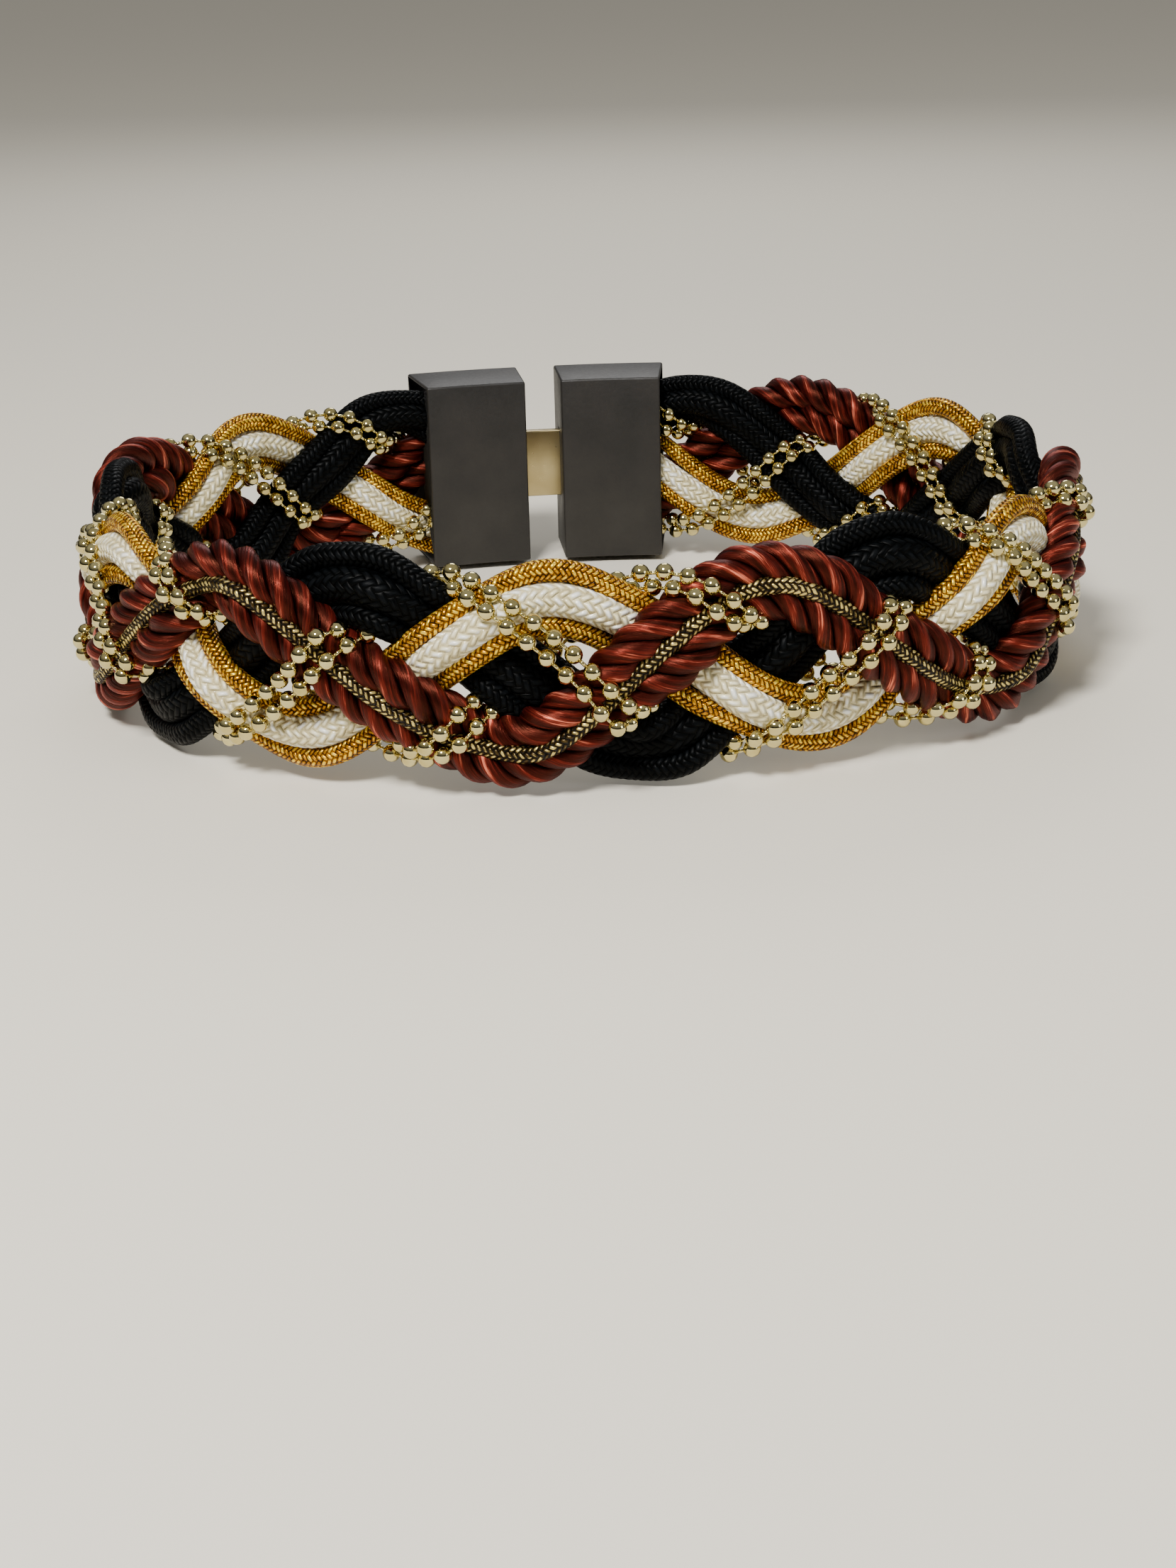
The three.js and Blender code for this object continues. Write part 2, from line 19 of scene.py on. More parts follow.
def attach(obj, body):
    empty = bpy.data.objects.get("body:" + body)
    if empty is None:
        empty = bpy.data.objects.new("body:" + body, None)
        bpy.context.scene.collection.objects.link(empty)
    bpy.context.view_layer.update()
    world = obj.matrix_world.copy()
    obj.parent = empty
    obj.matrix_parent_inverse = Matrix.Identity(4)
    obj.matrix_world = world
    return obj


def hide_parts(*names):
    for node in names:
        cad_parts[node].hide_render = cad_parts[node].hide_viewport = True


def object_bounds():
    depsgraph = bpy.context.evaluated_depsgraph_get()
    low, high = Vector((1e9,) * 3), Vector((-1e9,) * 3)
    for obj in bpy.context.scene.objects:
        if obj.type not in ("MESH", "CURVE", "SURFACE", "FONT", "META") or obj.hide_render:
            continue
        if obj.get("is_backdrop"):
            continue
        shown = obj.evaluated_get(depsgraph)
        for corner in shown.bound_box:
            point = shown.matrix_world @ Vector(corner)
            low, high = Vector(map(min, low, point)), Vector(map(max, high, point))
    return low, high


logging.basicConfig(level=logging.INFO, format="%(message)s")
LOG = logging.getLogger("rope_belt")

MM = 0.001
SAME_PLACE = 0.002 * MM
WEAR_STARTS = 0.35
WEAR_FULL = 0.75

Array = np.ndarray
Socket = bpy.types.NodeSocket
Value = float | Socket
Colour = tuple[float, float, float, float]


def colour(red: int, green: int, blue: int) -> Colour:
    """Turns a screen colour into the linear colour that a shader takes.

    Args:
        red: Red, 0 to 255.
        green: Green, 0 to 255.
        blue: Blue, 0 to 255.

    Returns:
        The linear colour, with full alpha.
    """
    screen = (c / 255 for c in (red, green, blue))
    linear = [c / 12.92 if c <= 0.04045 else ((c + 0.055) / 1.055) ** 2.4 for c in screen]
    return (*linear, 1.0)


def travelled(points: Array) -> Array:
    """Gives the length from the first of some places in a row to each of them."""
    steps = np.linalg.norm(np.diff(points, axis=0), axis=1)
    return np.concatenate([[0.0], np.cumsum(steps)])


def eased(share: Array) -> Array:
    """Turns shares of a way from 0 to 1 into ones that start and end gently."""
    share = np.clip(share, 0, 1)
    return share * share * (3 - 2 * share)


class Yarn(Enum):
    """The yarns of the belt, by short names."""

    RUST = "rust"
    OLIVE = "olive"
    WHITE = "white"
    GOLD = "gold"
    BLACK = "black"


@dataclass(frozen=True)
class Waist:
    """The rounded oval that the belt closes round."""

    width: float = 246.4 * MM
    depth: float = 200.8 * MM
    squareness: float = 2.26

    def outward(self, points: Array) -> Array:
        """Finds the level directions straight out of the oval.

        Args:
            points: Places, one row each.

        Returns:
            One unit direction for each place.
        """
        half = np.array([self.width / 2, self.depth / 2])
        share = points[:, :2] / half
        slope = np.sign(share) * np.abs(share) ** (self.squareness - 1) / half
        out = np.column_stack([slope, np.zeros(len(points))])
        return out / np.linalg.norm(out, axis=1, keepdims=True)


@dataclass(frozen=True)
class Bundle:
    """The outer cords of a strand, and how far they are drawn from its middle, as a share."""

    outer: tuple[str, str]
    spread: float


BUNDLES = (
    Bundle(("rust_rope_upper", "rust_rope_lower"), 1.2),
    Bundle(("gold_cord_upper", "gold_cord_lower"), 1.12),
    Bundle(("black_cord_upper", "black_cord_lower"), 1.3),
)


@dataclass
class Path:
    """Evenly spaced places along the middle of a cord, with the directions there."""

    points: Array
    out: Array
    side: Array
    length: float

    @classmethod
    def through(cls, points: Array, out: Array) -> "Path":
        """Builds a path from places and rough outward directions.

        Args:
            points: Evenly spaced places.
            out: A direction out of the path at each place, roughly across it.

        Returns:
            The path.
        """
        along = np.gradient(points, axis=0)
        along /= np.linalg.norm(along, axis=1, keepdims=True)
        out = out - along * np.sum(out * along, axis=1, keepdims=True)
        out /= np.linalg.norm(out, axis=1, keepdims=True)
        return cls(points, out, np.cross(along, out), float(travelled(points)[-1]))

    def fullness(self, bare: float = 16 * MM, rise: float = 30 * MM, least: float = 0.86) -> Array:
        """Gives the cord's thickness as a share of the full one, less where a cap holds it.

        Args:
            bare: Length from each end with the least thickness.
            rise: Length over which the cord fills out.
            least: The share in the caps.

        Returns:
            One share for each place.
        """
        places = travelled(self.points)
        from_end = np.minimum(places, places[-1] - places)
        return least + (1 - least) * eased((from_end - bare) / rise)

    def around(self, angle: Array) -> Array:
        """Gives the directions at the given angles round the path.

        Args:
            angle: Angles from the outward direction, one for each place.

        Returns:
            One unit direction for each place.
        """
        return self.out * np.cos(angle)[:, None] + self.side * np.sin(angle)[:, None]


@dataclass
class TubeReader:
    """Reads the middle line of a cord's CAD tube."""

    flatness: float = 0.9995
    fewest_sides: int = 5
    subdivisions: int = 24
    overshoots: int = 2
    overshoot_share: float = 0.85
    held_rings: int = 2
    freed_rings: int = 4
    waist: Waist = field(default_factory=Waist)
    known: dict[str, Array] = field(default_factory=dict)

    def rings(self, node: bpy.types.Object) -> Array:
        """Walks along a tube, section by section, from its end at +X.

        Args:
            node: The tube's CAD object.

        Returns:
            The middle of each section, in order.
        """
        bm = bmesh.new()
        bm.from_mesh(node.data)
        bmesh.ops.remove_doubles(bm, verts=bm.verts, dist=SAME_PLACE)
        ring = self.end_ring(bm)
        seen = set(ring)
        middles = []
        while ring:
            middles.append(np.mean(sorted(v.co[:] for v in ring), axis=0))
            ahead = {e.other_vert(v) for v in ring for e in v.link_edges} - seen
            seen |= ahead
            ring = list(ahead)
        bm.free()
        return np.array(middles)

    def laid(self, name: str) -> Array:
        """Gives a cord's sections where the looks have them, spread out from its strand's middle.

        Args:
            name: The CAD node's name.

        Returns:
            The middle of each section, from -X behind to +X behind.
        """
        bundle = next((b for b in BUNDLES if name in b.outer), None)
        own = self.sections(name)
        if bundle is None:
            return own
        middle = (self.sections(bundle.outer[0]) + self.sections(bundle.outer[1])) / 2
        place = np.arange(len(own))
        from_end = np.minimum(place, place[::-1])
        share = np.clip((from_end - self.held_rings) / self.freed_rings, 0, 1)
        return middle + (own - middle) * (1 + (bundle.spread - 1) * share)[:, None]

    def sections(self, name: str) -> Array:
        """Gives the middles of a tube's sections, which are read once."""
        if name not in self.known:
            self.known[name] = self.rings(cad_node(name))[::-1]
        return self.known[name]

    def end_ring(self, bm: bmesh.types.BMesh) -> list[bmesh.types.BMVert]:
        """Finds the corners of the flat end that lies behind the waist at +X.

        Args:
            bm: The tube.

        Returns:
            The corners of that end.
        """
        behind = [v for v in bm.verts if v.co.y > 0 and v.co.x > 0]
        tip = min(behind, key=lambda v: v.co.x)
        patches = [self.flat_patch(face) for face in tip.link_faces]
        return min((p for p in patches if len(p) >= self.fewest_sides), key=self.width)

    def flat_patch(self, start: bmesh.types.BMFace) -> list[bmesh.types.BMVert]:
        """Gives the corners of all the faces that lie flat with one of them."""
        flat = {start}
        waiting = [start]
        while waiting:
            for edge in waiting.pop().edges:
                for other in edge.link_faces:
                    if other not in flat and other.normal.dot(start.normal) > self.flatness:
                        flat.add(other)
                        waiting.append(other)
        return list({v for f in flat for v in f.verts})

    @staticmethod
    def width(corners: list[bmesh.types.BMVert]) -> float:
        """Gives how far corners lie from their middle on average."""
        places = np.array([v.co[:] for v in corners])
        return float(np.linalg.norm(places - places.mean(axis=0), axis=1).mean())

    def path(self, name: str, spacing: float) -> Path:
        """Lays a smooth path through the middle of a tube.

        Args:
            name: The CAD node's name.
            spacing: Distance between the path's places.

        Returns:
            The path, running from -X behind, across the front, to +X behind.
        """
        controls = self.overshoot(self.laid(name))
        fine = self.spline(controls)
        reached = travelled(fine)
        wanted = np.linspace(0, reached[-1], round(reached[-1] / spacing) + 1)
        points = np.column_stack([np.interp(wanted, reached, fine[:, k]) for k in range(3)])
        return Path.through(points, self.waist.outward(points))

    def overshoot(self, rings: Array) -> Array:
        """Moves control points outwards, so that the spline passes near the rings.

        Args:
            rings: The middles of the tube's sections.

        Returns:
            The control points.
        """
        controls = rings.copy()
        for _ in range(self.overshoots):
            reached = controls.copy()
            reached[1:-1] = (controls[:-2] + 4 * controls[1:-1] + controls[2:]) / 6
            controls += self.overshoot_share * (rings - reached)
        return controls

    def spline(self, controls: Array) -> Array:
        """Samples a uniform cubic B-spline that ends on its first and last control point.

        Args:
            controls: The control points.

        Returns:
            The samples, unevenly spaced.
        """
        first = 2 * controls[0] - controls[1]
        last = 2 * controls[-1] - controls[-2]
        padded = np.vstack([first, controls, last])
        share = np.arange(self.subdivisions) / self.subdivisions
        weights = np.column_stack([
            (1 - share) ** 3,
            3 * share**3 - 6 * share**2 + 4,
            -3 * share**3 + 3 * share**2 + 3 * share + 1,
            share**3,
        ]) / 6
        spans = [weights @ padded[i : i + 4] for i in range(len(padded) - 3)]
        return np.vstack([*spans, controls[-1:]])


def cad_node(name: str) -> bpy.types.Object:
    """Gives the CAD object of a node."""
    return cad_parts[name]


@dataclass
class Skin:
    """A closed tube round a path, made from a grid that is rolled up."""

    name: str
    path: Path
    sides: int
    picks: float = 1.0
    columns: float = 1.0

    def roll(self, radius: Array) -> bpy.types.Mesh:
        """Rolls the grid round the path.

        Args:
            radius: Distance from the path, one row for each place and one column for each side.

        Returns:
            The mesh, with its map in picks along the tube and columns round it.
        """
        rows = len(self.path.points)
        bm = bmesh.new()
        bm.loops.layers.uv.new("UVMap")
        bmesh.ops.create_grid(bm, x_segments=rows - 1, y_segments=self.sides, size=1.0, calc_uvs=True)
        mesh = bpy.data.meshes.new(self.name)
        bm.to_mesh(mesh)
        bm.free()
        flat = np.empty(len(mesh.vertices) * 3)
        mesh.vertices.foreach_get("co", flat)
        flat = flat.reshape(-1, 3)
        row = np.rint((flat[:, 0] + 1) / 2 * (rows - 1)).astype(int)
        column = np.rint((flat[:, 1] + 1) / 2 * self.sides).astype(int)
        angle = -2 * math.pi * column / self.sides
        reach = radius[row, column % self.sides]
        out = self.path.out[row] * np.cos(angle)[:, None] + self.path.side[row] * np.sin(angle)[:, None]
        placed = self.path.points[row] + out * reach[:, None]
        mesh.vertices.foreach_set("co", placed.ravel())
        self.scale_map(mesh)
        return mesh

    def scale_map(self, mesh: bpy.types.Mesh) -> None:
        """Stretches the map from unit size to picks and columns."""
        layer = mesh.uv_layers["UVMap"].data
        values = np.empty(len(layer) * 2)
        layer.foreach_get("uv", values)
        values = values.reshape(-1, 2) * (self.picks, self.columns)
        layer.foreach_set("uv", values.ravel())

    def close(self, mesh: bpy.types.Mesh, merge: float = 0.01 * MM) -> bpy.types.Mesh:
        """Sews the seam and closes both ends.

        Args:
            mesh: The rolled grid.
            merge: Points nearer than this become one.

        Returns:
            The same mesh, closed.
        """
        bm = bmesh.new()
        bm.from_mesh(mesh)
        rim = [v for v in bm.verts if any(e.is_boundary for e in v.link_edges)]
        bmesh.ops.remove_doubles(bm, verts=rim, dist=merge)
        ends = [e for e in bm.edges if e.is_boundary]
        bmesh.ops.holes_fill(bm, edges=ends, sides=0)
        for face in bm.faces:
            face.smooth = True
        bm.to_mesh(mesh)
        bm.free()
        return mesh


def joined(name: str, meshes: list[bpy.types.Mesh]) -> bpy.types.Mesh:
    """Puts several meshes into one.

    Args:
        name: The new mesh's name.
        meshes: Meshes with the same layers, which are removed.

    Returns:
        The new mesh.
    """
    bm = bmesh.new()
    for mesh in meshes:
        bm.from_mesh(mesh)
        bpy.data.meshes.remove(mesh)
    whole = bpy.data.meshes.new(name)
    bm.to_mesh(whole)
    bm.free()
    return whole


def placed(
    name: str, mesh: bpy.types.Mesh, material: bpy.types.Material, slot: str, node: str
) -> bpy.types.Object:
    """Makes a piece of the object that stands for a CAD node.

    Args:
        name: The piece's name.
        mesh: Its mesh.
        material: Its material.
        slot: A material slot's name, which is not used.
        node: The CAD node that it replaces.

    Returns:
        The piece.
    """
    piece = bpy.data.objects.new(name, mesh)
    bpy.context.scene.collection.objects.link(piece)
    mesh.materials.clear()
    mesh.materials.append(material)
    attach(piece, "root")
    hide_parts(node)
    LOG.info("%s: %d faces", name, len(mesh.polygons))
    return piece


class Graph:
    """The node tree of one material, with short ways to add and link nodes."""

    def __init__(self, name: str) -> None:
        """Starts a material with a plain shader."""
        self.material = bpy.data.materials.new(name)
        self.material.use_nodes = True
        self.tree = self.material.node_tree
        self.shader = self.tree.nodes["Principled BSDF"]

    def node(self, kind: str, **settings: object) -> bpy.types.Node:
        """Adds a node.

        Args:
            kind: The node's type.
            **settings: Properties to set on it.

        Returns:
            The node.
        """
        made = self.tree.nodes.new(kind)
        for key, value in settings.items():
            setattr(made, key, value)
        return made

    def feed(self, socket: Socket, value: Value | tuple[float, ...]) -> None:
        """Links a socket to another, or sets it to a plain value."""
        if isinstance(value, bpy.types.NodeSocket):
            self.tree.links.new(value, socket)
        else:
            socket.default_value = value

    def math(self, operation: str, *values: Value) -> Socket:
        """Adds a sum.

        Args:
            operation: The sum's name.
            *values: What it works on.

        Returns:
            Its result.
        """
        made = self.node("ShaderNodeMath", operation=operation)
        for socket, value in zip(made.inputs, values):
            self.feed(socket, value)
        return made.outputs[0]

    def choose(self, factor: Value, low: Value, high: Value) -> Socket:
        """Gives low where factor is 0 and high where it is 1."""
        made = self.node("ShaderNodeMix")
        self.feed(made.inputs[0], factor)
        self.feed(made.inputs[2], low)
        self.feed(made.inputs[3], high)
        return made.outputs[0]

    def scaled(self, value: Value, factor: Value) -> Socket:
        """Multiplies two numbers."""
        return self.math("MULTIPLY", value, factor)

    def swayed(self, value: Value, by: Value, amount: float, middle: float = 0.5) -> Socket:
        """Moves a number up and down with another one.

        Args:
            value: The number that moves.
            by: The number that moves it.
            amount: How far it moves when the other one moves by 1.
            middle: Where the other one leaves it as it is.

        Returns:
            The moved number.
        """
        return self.math("ADD", value, self.scaled(self.math("SUBTRACT", by, middle), amount))

    def on_ply(self, along: Value, turn: Value, stretch: float, radius: float) -> Socket:
        """Gives a place on a round ply for a noise that is drawn out along it.

        Args:
            along: Place along the ply.
            turn: Angle round it.
            stretch: How fast the place moves along the ply.
            radius: How fast it moves round it.

        Returns:
            The place.
        """
        return self.join(
            self.scaled(along, stretch),
            self.scaled(self.math("COSINE", turn), radius),
            self.scaled(self.math("SINE", turn), radius),
        )

    def join(self, x: Value, y: Value, z: Value) -> Socket:
        """Joins three numbers into a vector."""
        made = self.node("ShaderNodeCombineXYZ")
        for socket, value in zip(made.inputs, (x, y, z)):
            self.feed(socket, value)
        return made.outputs[0]

    def map_parts(self) -> tuple[Socket, Socket]:
        """Gives the two numbers of the piece's own map."""
        coordinates = self.node("ShaderNodeUVMap", uv_map="UVMap")
        parts = self.node("ShaderNodeSeparateXYZ")
        self.feed(parts.inputs[0], coordinates.outputs[0])
        return parts.outputs[0], parts.outputs[1]

    def object_place(self) -> Socket:
        """Gives the place on the object."""
        return self.node("ShaderNodeTexCoord").outputs["Object"]

    def noise(self, vector: Value, scale: float, detail: float = 2.0, roughness: float = 0.5) -> Socket:
        """Adds a cloudy noise.

        Args:
            vector: Where it is read.
            scale: Its fineness.
            detail: Its finer layers.
            roughness: How strong they are.

        Returns:
            A number from 0 to 1.
        """
        made = self.node("ShaderNodeTexNoise")
        self.feed(made.inputs["Vector"], vector)
        made.inputs["Scale"].default_value = scale
        made.inputs["Detail"].default_value = detail
        made.inputs["Roughness"].default_value = roughness
        return made.outputs[0]

    def random(self, vector: Value) -> Socket:
        """Gives one random number for each vector."""
        made = self.node("ShaderNodeTexWhiteNoise", noise_dimensions="3D")
        self.feed(made.inputs["Vector"], vector)
        return made.outputs[0]

    def ramp(self, value: Value, stops: list[tuple[float, Colour]]) -> Socket:
        """Turns a number into a colour.

        Args:
            value: The number.
            stops: Places from 0 to 1 and the colours there.

        Returns:
            The colour.
        """
        made = self.node("ShaderNodeValToRGB")
        self.feed(made.inputs[0], value)
        elements = made.color_ramp.elements
        while len(elements) < len(stops):
            elements.new(stops[len(elements)][0])
        for element, (place, tint) in zip(elements, stops):
            element.position = place
            element.color = tint
        return made.outputs[0]

    def bump(self, height: Value, distance: float, normal: Socket | None = None) -> Socket:
        """Adds relief.

        Args:
            height: Relief from 0 to 1.
            distance: How high 1 stands.
            normal: Relief that this one is added to.

        Returns:
            The normal.
        """
        made = self.node("ShaderNodeBump")
        made.inputs["Distance"].default_value = distance
        self.feed(made.inputs["Height"], height)
        if normal is not None:
            self.feed(made.inputs["Normal"], normal)
        return made.outputs[0]

    def finish(
        self, base: Value | Colour, rough: Value, normal: Socket | None, **sockets: Value | Colour
    ) -> bpy.types.Material:
        """Sets the shader.

        Args:
            base: Base colour.
            rough: Roughness.
            normal: Relief.
            **sockets: Further sockets, with their names written with underscores.

        Returns:
            The finished material.
        """
        self.feed(self.shader.inputs["Base Color"], base)
        self.feed(self.shader.inputs["Roughness"], rough)
        if normal is not None:
            self.feed(self.shader.inputs["Normal"], normal)
        for key, value in sockets.items():
            self.feed(self.shader.inputs[key.replace("_", " ")], value)
        return self.material


THREADS_IN_YARN = 7.0
THREAD_STRETCH = 0.9
THREAD_SHUFFLE = 40.0
THREAD_ROUGHNESS = 0.25
THREAD_ROUGHNESS_MIDDLE = 0.48


@dataclass(frozen=True)
class BraidFinish:
    """A tubular braid of satin yarns, each passing over two and under two."""

    name: str
    # Painted light: the colour is darkest in the valleys between the yarns, as painted shade, and brightest
    # on the yarns' crests, as painted highlight.
    crest_highlight: Colour
    body: Colour
    valley_shade: Colour
    lift_highlight: Colour
    roughness: float = 0.38
    metallic: float = 0.0
    specular: float = 0.6
    sheen: float = 0.1
    relief: float = 0.4 * MM
    thread_relief: float = 0.04 * MM
    tone_spread: float = 0.35
    thread_spread: float = 0.8
    cloud_spread: float = 0.5
    cloud_scale: float = 60.0
    yarn_profile: float = 2.2
    yarn_arch: float = 2.6
    roundness: float = 0.7
    sheen_roughness: float = 0.4
    shades: tuple[float, float, float, float] = (0.05, 0.38, 0.8, 1.0)

    def build(self) -> bpy.types.Material:
        """Makes the material.

        Returns:
            The material.
        """
        graph = Graph(self.name)
        picks, columns = graph.map_parts()
        ahead = graph.math("ADD", picks, columns)
        back = graph.math("SUBTRACT", picks, columns)
        ahead_index = graph.math("FLOOR", ahead)
        back_index = graph.math("FLOOR", back)
        ahead_part = graph.math("SUBTRACT", ahead, ahead_index)
        back_part = graph.math("SUBTRACT", back, back_index)
        turn = graph.math("FLOORED_MODULO", graph.math("SUBTRACT", ahead_index, back_index), 4.0)
        leaning_back = graph.math("GREATER_THAN", turn, 1.5)
        across = graph.choose(leaning_back, ahead_part, back_part)
        first_along = graph.math("SUBTRACT", graph.math("ADD", back_part, 1.0), turn)
        second_along = graph.math("SUBTRACT", graph.math("ADD", ahead_part, turn), 2.0)
        along = graph.scaled(graph.choose(leaning_back, first_along, second_along), 0.5)
        first_id = graph.math("SUBTRACT", graph.math("ADD", back_index, turn), 1.0)
        second_id = graph.math("ADD", graph.math("SUBTRACT", ahead_index, turn), 2.0)
        yarn = graph.choose(leaning_back, ahead_index, back_index)
        float_id = graph.choose(leaning_back, first_id, second_id)
        tone = graph.random(graph.join(yarn, float_id, leaning_back))

        rounded = self.arch(graph, across, self.yarn_profile)
        arched = self.arch(graph, along, self.yarn_arch)
        swell = graph.math("MAXIMUM", graph.scaled(rounded, arched), 0.0)
        height = graph.math("POWER", swell, self.roundness)

        threads_at = graph.join(
            graph.scaled(across, THREADS_IN_YARN),
            graph.scaled(along, THREAD_STRETCH),
            graph.scaled(tone, THREAD_SHUFFLE),
        )
        threads = graph.noise(threads_at, 1.0)
        cloud = graph.noise(graph.object_place(), self.cloud_scale, 3.0)

        # Painted highlight and shade: the colour follows each yarn's height, light on its crest and dark
        # between the yarns, with random tone, threads and clouds on top.
        lit = graph.swayed(height, tone, self.tone_spread)
        lit = graph.swayed(lit, threads, self.thread_spread)
        lit = graph.swayed(lit, cloud, self.cloud_spread)
        base = graph.ramp(lit, list(zip(self.shades, (self.valley_shade, self.body, self.crest_highlight, self.lift_highlight))))
        rough = graph.swayed(self.roughness, threads, THREAD_ROUGHNESS, THREAD_ROUGHNESS_MIDDLE)
        normal = graph.bump(height, self.relief)
        normal = graph.bump(threads, self.thread_relief, normal=normal)
        return graph.finish(
            base,
            rough,
            normal,
            Metallic=self.metallic,
            Specular_IOR_Level=self.specular,
            Sheen_Weight=self.sheen,
            Sheen_Roughness=self.sheen_roughness,
        )

    @staticmethod
    def arch(graph: Graph, share: Value, power: float) -> Socket:
        """Gives 1 in the middle of a share from 0 to 1, and 0 at both its ends.

        Args:
            graph: The material.
            share: The share.
            power: How flat the middle is.

        Returns:
            The height there.
        """
        centred = graph.math("SUBTRACT", graph.scaled(share, 2.0), 1.0)
        return graph.math("SUBTRACT", 1.0, graph.math("POWER", graph.math("ABSOLUTE", centred), power))


@dataclass(frozen=True)
class SatinFinish:
    """Loosely laid satin filaments, for the plies of a twisted rope."""

    name: str
    # The darkest stop is partly the filaments' own dark tone and partly painted shade in the grooves. The
    # top stop is a painted highlight streak, and it also tints the real highlight.
    dark_and_groove_shade: Colour
    body: Colour
    light: Colour
    painted_highlight_and_tint: Colour
    roughness: float = 0.34
    metallic: float = 0.4
    specular: float = 0.8
    filament_relief: float = 0.12 * MM
    filament_roughness: float = 0.3
    lobes: int = 4
    bundle_share: float = 0.6
    # Painted highlight and shade: the colour is lighter on the ridges of each ply's lobes and darker in the
    # grooves between them.
    ridge_highlight_middle: float = 0.6
    ridge_highlight_spread: float = 0.22
    cloud_spread: float = 0.4
    cloud_scale: float = 90.0
    # Painted shade: below this facing the colour of each ply darkens on its side turned into the rope, by
    # this much.
    shade_free_facing: float = 0.45
    groove_shade_strength: float = 0.6
    shades: tuple[float, float, float, float] = (0.3, 0.5, 0.64, 0.76)

    def build(self) -> bpy.types.Material:
        """Makes the material.

        Returns:
            The material.
        """
        graph = Graph(self.name)
        along, around = graph.map_parts()
        turn = graph.scaled(around, 2 * math.pi)
        bundles = graph.noise(graph.on_ply(along, turn, stretch=0.05, radius=1.6), 2.2)
        filaments = graph.noise(graph.on_ply(along, turn, stretch=0.11, radius=5.0), 2.6, 3.0, 0.6)
        cloud = graph.noise(graph.object_place(), self.cloud_scale)
        # Painted highlight and shade: lighter along the lobes' ridges, darker between them.
        ridge_highlight = graph.math("ABSOLUTE", graph.math("COSINE", graph.scaled(around, math.pi * self.lobes)))
        # Painted shade: the inward side of each ply, in the grooves between the plies, is painted darker.
        groove_shade_facing = graph.math("MINIMUM", graph.math("COSINE", turn), self.shade_free_facing)
        value = graph.swayed(graph.scaled(bundles, self.bundle_share), filaments, 1 - self.bundle_share, 0.0)
        value = graph.swayed(value, ridge_highlight, self.ridge_highlight_spread, self.ridge_highlight_middle)
        value = graph.swayed(value, cloud, self.cloud_spread)
        value = graph.swayed(value, groove_shade_facing, self.groove_shade_strength, self.shade_free_facing)
        # The ramp paints shade at its dark end and highlight streaks at its top end.
        base = graph.ramp(value, list(zip(self.shades, (self.dark_and_groove_shade, self.body, self.light, self.painted_highlight_and_tint))))
        rough = graph.swayed(self.roughness, filaments, self.filament_roughness)
        normal = graph.bump(bundles, self.filament_relief * 2)
        normal = graph.bump(filaments, self.filament_relief, normal=normal)
        return graph.finish(
            base,
            rough,
            normal,
            Metallic=self.metallic,
            Specular_IOR_Level=self.specular,
            Specular_Tint=self.painted_highlight_and_tint,
        )


@dataclass(frozen=True)
class PolishedFinish:
    """Thin bright plating, with faint clouds and small scratches."""

    name: str
    base: Colour
    worn: Colour
    roughness: float = 0.1
    cloud_scale: float = 180.0
    scratch_fineness: float = 8.0
    scratch_roughness: float = 0.12
    scratch_roughness_middle: float = 5 / 12
    scratch_relief: float = 0.01 * MM

    def build(self) -> bpy.types.Material:
        """Makes the material.

        Returns:
            The material.
        """
        graph = Graph(self.name)
        place = graph.object_place()
        cloud = graph.noise(place, self.cloud_scale, 3.0)
        scratches = graph.noise(place, self.cloud_scale * self.scratch_fineness, 4.0, 0.7)
        base = graph.ramp(cloud, [(WEAR_STARTS, self.base), (WEAR_FULL, self.worn)])
        rough = graph.swayed(
            self.roughness, scratches, self.scratch_roughness, self.scratch_roughness_middle
        )
        normal = graph.bump(scratches, self.scratch_relief)
        return graph.finish(base, rough, normal, Metallic=1.0)


@dataclass(frozen=True)
class LeatherFinish:
    """Plain smooth leather, with a fine grain."""

    name: str
    base: Colour
    worn: Colour
    roughness: float = 0.5
    grain_scale: float = 900.0
    grain_roughness: float = 0.2
    grains_in_cloud: float = 15.0
    grain_relief: float = 0.08 * MM

    def build(self) -> bpy.types.Material:
        """Makes the material.

        Returns:
            The material.
        """
        graph = Graph(self.name)
        place = graph.object_place()
        cloud = graph.noise(place, self.grain_scale / self.grains_in_cloud, 3.0)
        grain = graph.noise(place, self.grain_scale, 3.0, 0.6)
        base = graph.ramp(cloud, [(WEAR_STARTS, self.base), (WEAR_FULL, self.worn)])
        rough = graph.swayed(self.roughness, grain, self.grain_roughness)
        return graph.finish(base, rough, graph.bump(grain, self.grain_relief))


